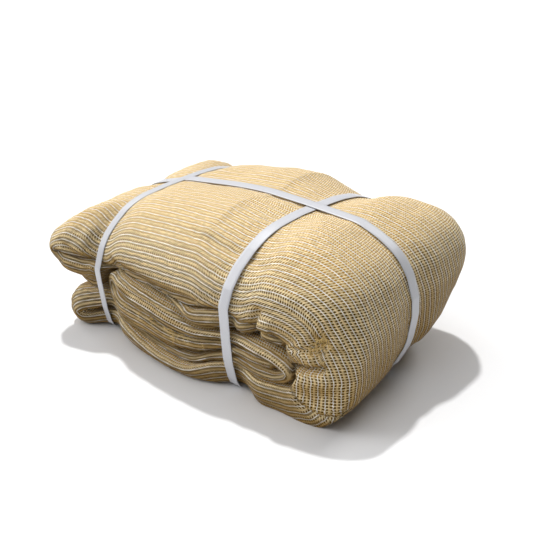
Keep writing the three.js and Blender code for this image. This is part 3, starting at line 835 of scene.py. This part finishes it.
def strap_mesh(name, axis, middle, width, held):
    """A flat strap round what it holds, with rounded edges, and a map of true distances."""
    plane = [1, 2] if axis == 0 else [0, 2]
    under = held[np.abs(held[:, axis] - middle) < width / 2 + STRAP_REACH][:, plane]
    inner = tight_outline(under, STRAP_GAP)
    outer = tight_outline(under, STRAP_GAP + STRAP_THICK)
    half = width / 2
    # across the strap: a place from its middle, and a share of its thickness from the inner side
    profile = [(-half + STRAP_EDGE, 0), (-half, 0.5), (-half + STRAP_EDGE, 1), (-half / 2, 1), (0, 1)]
    profile += [(-place, share) for place, share in profile[-2::-1]]
    count, size = STRAP_SIDES, len(profile)
    points = np.zeros((count, size, 3))
    for k, (place, share) in enumerate(profile):
        points[:, k, plane] = inner * (1 - share) + outer * share
        points[:, k, axis] = middle + place
    grid = np.arange(count * size).reshape(count, size)
    after, beside = np.roll(grid, -1, axis=0), np.roll(grid, -1, axis=1)
    both = np.roll(after, -1, axis=1)
    quads = np.stack([grid, after, both, beside], axis=2).reshape(-1, 4)
    if axis == 1:
        quads = quads[:, ::-1]
    mesh = bpy.data.meshes.new(name)
    mesh.from_pydata(((points.reshape(-1, 3) - MIDDLE) * MM).tolist(), [], quads.tolist())
    mesh.polygons.foreach_set("use_smooth", [True] * len(mesh.polygons))
    mesh.update()

    run = np.linalg.norm(np.diff(np.vstack([outer, outer[:1]]), axis=0), axis=1)
    u = np.concatenate([[0], np.cumsum(run)])
    row, place = np.divmod(np.arange(count * size), size)
    v = np.array([place for place, _ in profile])
    corner_u = np.stack([u[row], u[row + 1], u[row + 1], u[row]], axis=1)
    corner_v = np.stack([v[place], v[place], v[(place + 1) % size], v[(place + 1) % size]], axis=1)
    if axis == 1:
        corner_u, corner_v = corner_u[:, ::-1], corner_v[:, ::-1]
    corners = np.stack([corner_u.ravel(), corner_v.ravel()], axis=1) * MM
    mesh.uv_layers.new(name="strap").data.foreach_set("uv", corners.ravel())
    return mesh, points.reshape(-1, 3)


def strapping_material():
    """White plastic strapping with a fine raised pattern of small squares set at a slant, and painted shade
    in the grooves between them.
    """
    material = bpy.data.materials.new("white_strapping")
    material.use_nodes = True
    nodes = material.node_tree.nodes
    links = material.node_tree.links
    plastic = nodes["Principled BSDF"]
    plastic.inputs["Roughness"].default_value = 0.38
    plastic.inputs["Specular IOR Level"].default_value = 0.45
    where = nodes.new("ShaderNodeUVMap")
    where.uv_map = "strap"
    turned = nodes.new("ShaderNodeVectorRotate")
    turned.rotation_type = "Z_AXIS"
    turned.inputs["Angle"].default_value = math.radians(45)
    links.new(where.outputs[0], turned.inputs["Vector"])
    parts = nodes.new("ShaderNodeSeparateXYZ")
    links.new(turned.outputs[0], parts.inputs[0])
    raised = []
    for socket in parts.outputs[:2]:
        wave = nodes.new("ShaderNodeMath")
        wave.operation = "PINGPONG"
        wave.inputs[1].default_value = 0.5
        scaled = nodes.new("ShaderNodeMath")
        scaled.operation = "DIVIDE"
        scaled.inputs[1].default_value = PATTERN_PITCH
        links.new(socket, scaled.inputs[0])
        links.new(scaled.outputs[0], wave.inputs[0])
        raised.append(wave.outputs[0])
    pattern = nodes.new("ShaderNodeMath")
    pattern.operation = "MULTIPLY"
    links.new(raised[0], pattern.inputs[0])
    links.new(raised[1], pattern.inputs[1])
    bump = nodes.new("ShaderNodeBump")
    bump.inputs["Strength"].default_value = 0.6
    bump.inputs["Distance"].default_value = PATTERN_RELIEF
    links.new(pattern.outputs[0], bump.inputs["Height"])
    links.new(bump.outputs[0], plastic.inputs["Normal"])
    # painted shade where the pattern is low, in its grooves
    tint = nodes.new("ShaderNodeMix")
    tint.data_type = "RGBA"
    tint.inputs[6].default_value = STRAP_GROOVE_PAINTED_SHADE
    tint.inputs[7].default_value = STRAP_LIGHT
    spread = nodes.new("ShaderNodeMapRange")
    spread.inputs["From Max"].default_value = 0.12
    links.new(pattern.outputs[0], spread.inputs["Value"])
    links.new(spread.outputs[0], tint.inputs[0])
    links.new(tint.outputs[2], plastic.inputs["Base Color"])
    return material


STRAPS = [
    # node, axis that it stands across, its middle, its width, and the strap that it passes over
    ("tie_strap_cross_right", 0, STRAP_RIGHT_X, STRAP_WIDTH, []),
    ("tie_strap_long", 1, STRAP_LONG_Y, STRAP_WIDTH, ["tie_strap_cross_right"]),
    ("tie_strap_cross_left", 0, STRAP_LEFT_X, STRAP_LEFT_WIDTH, ["tie_strap_long"]),
]
strapping = strapping_material()
strap_places = {}
for node_name, axis, middle, width, beneath in STRAPS:
    held = np.vstack([sail_points.reshape(-1, 3), *(strap_places[other] for other in beneath)])
    mesh, strap_places[node_name] = strap_mesh(node_name + "_band", axis, middle, width, held)
    strap = bpy.data.objects.new(node_name + "_band", mesh)
    bpy.context.collection.objects.link(strap)
    strap.data.materials.append(strapping)
    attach(strap, "root")
    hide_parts(node_name)

# The floor, the lights and the camera. A plain white floor that sweeps up far away all round, as in a
# studio, soft light from the upper left, a lamp behind that throws the shadow to the front and the right,
# and three weaker ones for the sides. Places are in metres here.
FLOOR_ROUND = 64  # straight runs round it
FLOOR_SWEEP = [(2.4, 0), (2.7, 0.06), (2.9, 0.25), (3.0, 0.5), (3.03, 0.85)]  # radius and height
FLOOR_PAINTS = [("white_floor", 0.86), ("grey_sweep", 0.2)]
turn = 2 * math.pi * np.arange(FLOOR_ROUND) / FLOOR_ROUND
floor_places = [(radius * math.cos(t), radius * math.sin(t), z) for radius, z in FLOOR_SWEEP for t in turn]
floor_faces = [tuple(range(FLOOR_ROUND))]
for ring in range(len(FLOOR_SWEEP) - 1):
    for k in range(FLOOR_ROUND):
        a, b = ring * FLOOR_ROUND + k, ring * FLOOR_ROUND + (k + 1) % FLOOR_ROUND
        floor_faces.append((a, b, b + FLOOR_ROUND, a + FLOOR_ROUND))
floor_mesh = bpy.data.meshes.new("floor")
floor_mesh.from_pydata(floor_places, [], floor_faces)
floor = bpy.data.objects.new("floor", floor_mesh)
bpy.context.collection.objects.link(floor)
for name, grey in FLOOR_PAINTS:
    paint = bpy.data.materials.new(name)
    paint.use_nodes = True
    shader = paint.node_tree.nodes["Principled BSDF"]
    shader.inputs["Base Color"].default_value = (grey, grey, grey, 1)
    shader.inputs["Roughness"].default_value = 0.9
    shader.inputs["Specular IOR Level"].default_value = 0.1
    floor.data.materials.append(paint)
for face in floor_mesh.polygons[1 + FLOOR_ROUND :]:
    face.material_index = 1

SOFT_BOX = (-0.55, -0.38, 0.74)  # towards the middle of the bright part of the studio
SOFT_BOX_EDGE = 0.1  # 1 in its middle, 0 a quarter turn away: where it has faded out
DIM_STRENGTH = 0.01
BRIGHT_STRENGTH = 0.98
STUDIO_COLOUR = (0.98, 0.98, 1, 1)
world = bpy.data.worlds.new("studio")
bpy.context.scene.world = world
world.use_nodes = True
world_nodes = world.node_tree.nodes
world_links = world.node_tree.links
sky_place = world_nodes.new("ShaderNodeTexCoord")
sky_side = world_nodes.new("ShaderNodeVectorMath")
sky_side.operation = "DOT_PRODUCT"
sky_side.inputs[1].default_value = SOFT_BOX
sky_range = world_nodes.new("ShaderNodeMapRange")
sky_range.inputs["From Min"].default_value = SOFT_BOX_EDGE
sky_range.inputs["To Min"].default_value = DIM_STRENGTH
sky_range.inputs["To Max"].default_value = BRIGHT_STRENGTH
world_links.new(sky_place.outputs["Generated"], sky_side.inputs[0])
world_links.new(sky_side.outputs["Value"], sky_range.inputs["Value"])
world_links.new(sky_range.outputs[0], world_nodes["Background"].inputs["Strength"])
world_nodes["Background"].inputs["Color"].default_value = STUDIO_COLOUR

# name, strength, angle it seems to fill, and the way it shines
LAMPS = [
    ("key", 2.2, 3, (0.44, -0.30, -1)),
    ("side", 0.3, 20, (0.9, -0.08, -0.8)),
    ("fill", 1.2, 30, (0.75, 0.55, -0.45)),
    ("back", 0.9, 20, (0, -1, -0.85)),
]
for name, strength, angle, way in LAMPS:
    lamp = bpy.data.objects.new(name, bpy.data.lights.new(name, "SUN"))
    lamp.data.energy = strength
    lamp.data.angle = math.radians(angle)
    lamp.rotation_mode = "QUATERNION"
    lamp.rotation_quaternion = Vector(way).to_track_quat("-Z", "Y")
    bpy.context.collection.objects.link(lamp)

CAMERA_PLACE = (0.7811, -0.9163, 0.711)
CAMERA_AZIMUTH = math.radians(40.4)
CAMERA_ELEVATION = math.radians(27.8)
CAMERA_LENS = 81.05
SENSOR_WIDTH = 36
camera = bpy.data.objects.new("camera", bpy.data.cameras.new("camera"))
camera.data.sensor_width = SENSOR_WIDTH
camera.data.lens = CAMERA_LENS
camera.location = CAMERA_PLACE
towards_viewer = Vector((
    math.sin(CAMERA_AZIMUTH) * math.cos(CAMERA_ELEVATION),
    -math.cos(CAMERA_AZIMUTH) * math.cos(CAMERA_ELEVATION),
    math.sin(CAMERA_ELEVATION),
))
camera.rotation_mode = "QUATERNION"
camera.rotation_quaternion = (-towards_viewer).to_track_quat("-Z", "Y")
bpy.context.collection.objects.link(camera)
bpy.context.scene.camera = camera
bpy.context.scene.view_settings.view_transform = "Standard"
